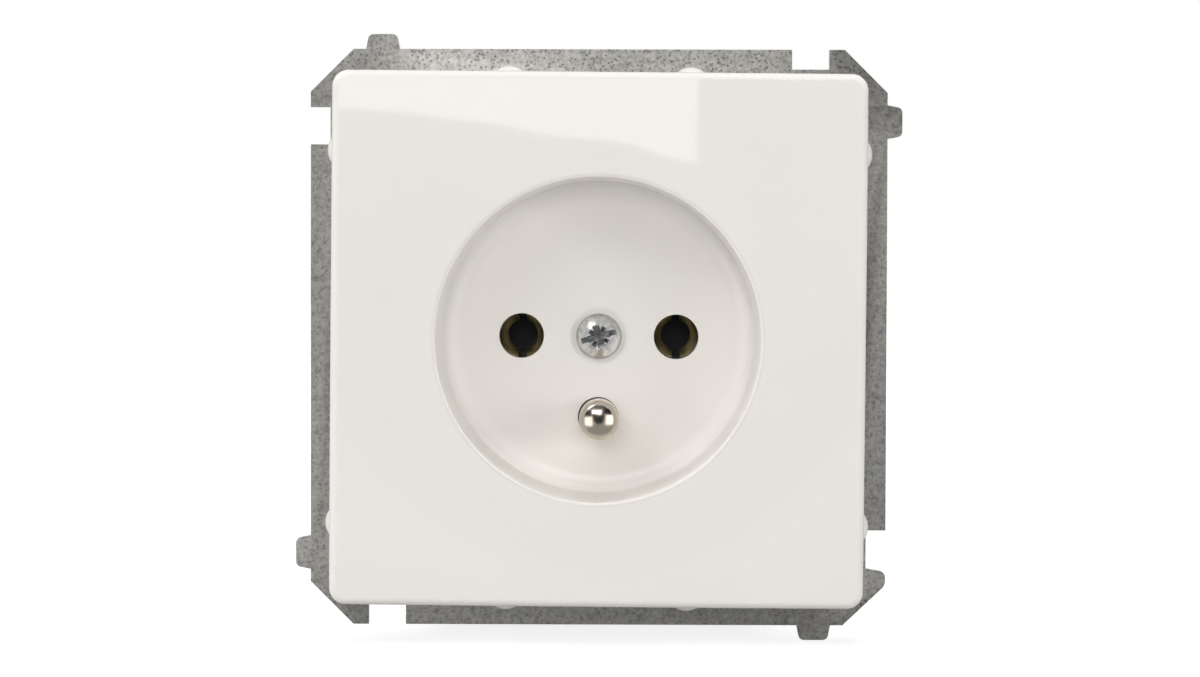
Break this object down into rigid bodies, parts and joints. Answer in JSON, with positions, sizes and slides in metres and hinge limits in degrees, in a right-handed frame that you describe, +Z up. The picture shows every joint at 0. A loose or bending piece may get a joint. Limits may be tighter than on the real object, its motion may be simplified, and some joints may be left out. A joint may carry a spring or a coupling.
{
  "type": "type e wall socket",
  "caption": "Flush wall socket insert: square glossy cover with a round plug recess, two pin holes and an earth pin, on a steel mounting strap with a round moulded base behind.",
  "frame": {"origin": "middle of the mounting strap on the wall plane, at the centre of the circle of box screws", "axes": "+Y into the wall, away from the user; +Z up; +X to the right as seen from the front; the pin holes lie along X and the earth pin is below them"},
  "size_m": [0.0736, 0.0379, 0.0736],
  "materials": {
    "cover_plastic": "polished moulding, warm white",
    "galvanised_sheet": "galvanised, finely speckled, with bright cut edges",
    "zinc_screw": "bright zinc plating",
    "base_plastic": "fine matt moulding, near black",
    "contact_brass": "dull rolled strip",
    "spring_steel": "plain",
    "plated_brass": "nickel plated, softly polished"
  },
  "bodies": {
    "root": {"cover_plate": "cover_plastic", "cover_screw": "zinc_screw", "cover_nut": "zinc_screw", "mounting_strap": "galvanised_sheet", "strap_rivets": "zinc_screw", "contact_guard": "base_plastic", "socket_base": "base_plastic", "rear_cap": "base_plastic", "cap_screws": "zinc_screw", "contact_left": "contact_brass", "contact_right": "contact_brass", "contact_spring_left": "spring_steel", "contact_spring_right": "spring_steel", "terminal_clamp_left": "spring_steel", "terminal_clamp_right": "spring_steel", "terminal_screw_left": "zinc_screw", "terminal_screw_right": "zinc_screw", "earth_pin": "plated_brass", "earth_bridge": "contact_brass", "earth_clamp": "spring_steel", "earth_screw": "zinc_screw"}
  },
  "joints": []
}
